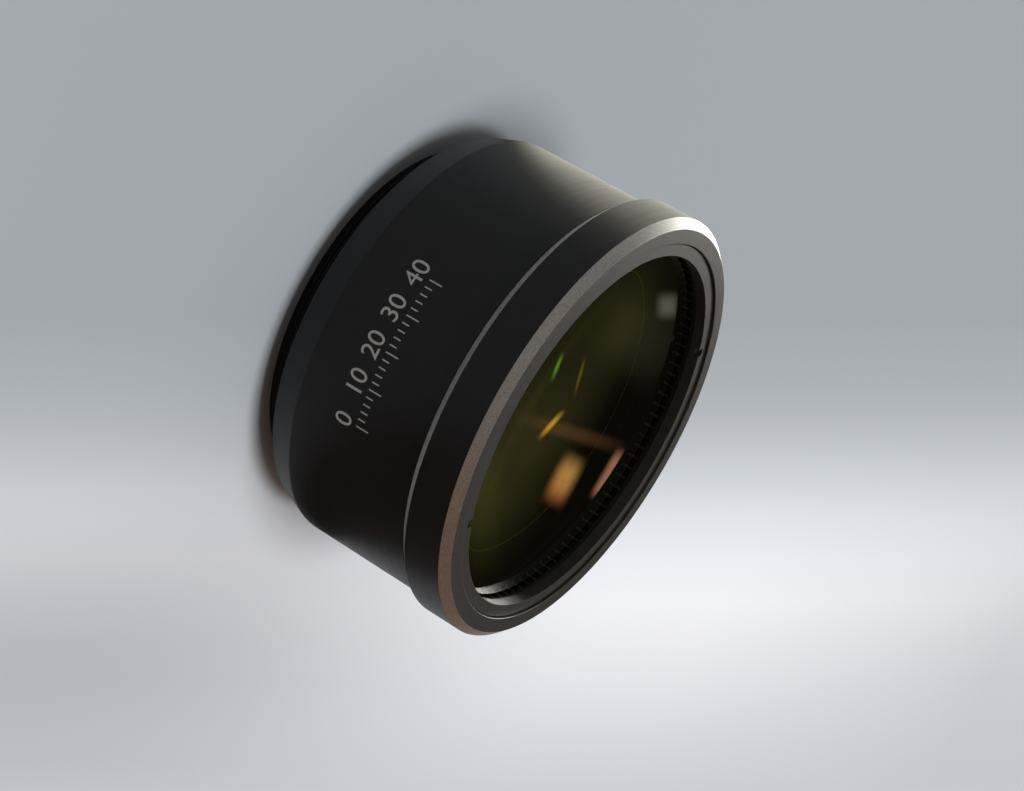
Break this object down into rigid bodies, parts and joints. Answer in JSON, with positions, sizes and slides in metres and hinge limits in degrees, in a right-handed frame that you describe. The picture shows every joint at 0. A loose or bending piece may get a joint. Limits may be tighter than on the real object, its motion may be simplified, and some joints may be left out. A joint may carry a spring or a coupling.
{
  "type": "f-theta scan lens",
  "caption": "Short round telecentric laser scan lens: black stepped barrel with a threaded rear mount and a large amber front lens under a retaining ring.",
  "frame": {"origin": "on the optical axis at the rear face of the threaded mounting boss, the face the lens stands on", "axes": "+Z along the optical axis from the scanner side to the output face; +X and +Y are square to it and the retaining ring's notches lie at 131 and 311 degrees from +X"},
  "size_m": [0.104, 0.104, 0.058],
  "materials": {
    "black_anodised": "satin black anodised, turned",
    "cell_anodised": "satin black anodised with bare machined chamfers",
    "ring_anodised": "satin dark grey anodised, turned",
    "matt_black_metal": "matt black anodised",
    "black_rubber": "matt nitrile rubber",
    "sleeve_polymer": "matt black acetal",
    "white_washer": "translucent white PTFE film",
    "zinc_selenide": "polished, antireflection coated"
  },
  "bodies": {
    "root": {"barrel": "black_anodised", "front_cell": "cell_anodised", "front_retaining_ring": "ring_anodised", "front_gasket": "black_rubber", "lens_4": "zinc_selenide", "centring_sleeve": "sleeve_polymer", "lens_4_seat_washer": "white_washer", "cell_o_ring": "black_rubber", "glare_stop": "matt_black_metal", "lens_3_retaining_ring": "ring_anodised", "lens_3_front_washer": "white_washer", "lens_3": "zinc_selenide", "lens_3_rear_washer": "white_washer", "spacer_2_3": "matt_black_metal", "lens_2_front_washer": "white_washer", "lens_2": "zinc_selenide", "lens_2_rear_washer": "white_washer", "lens_1_retaining_ring": "ring_anodised", "lens_1_front_washer": "white_washer", "lens_1": "zinc_selenide", "lens_1_rear_washer": "white_washer"}
  },
  "joints": []
}
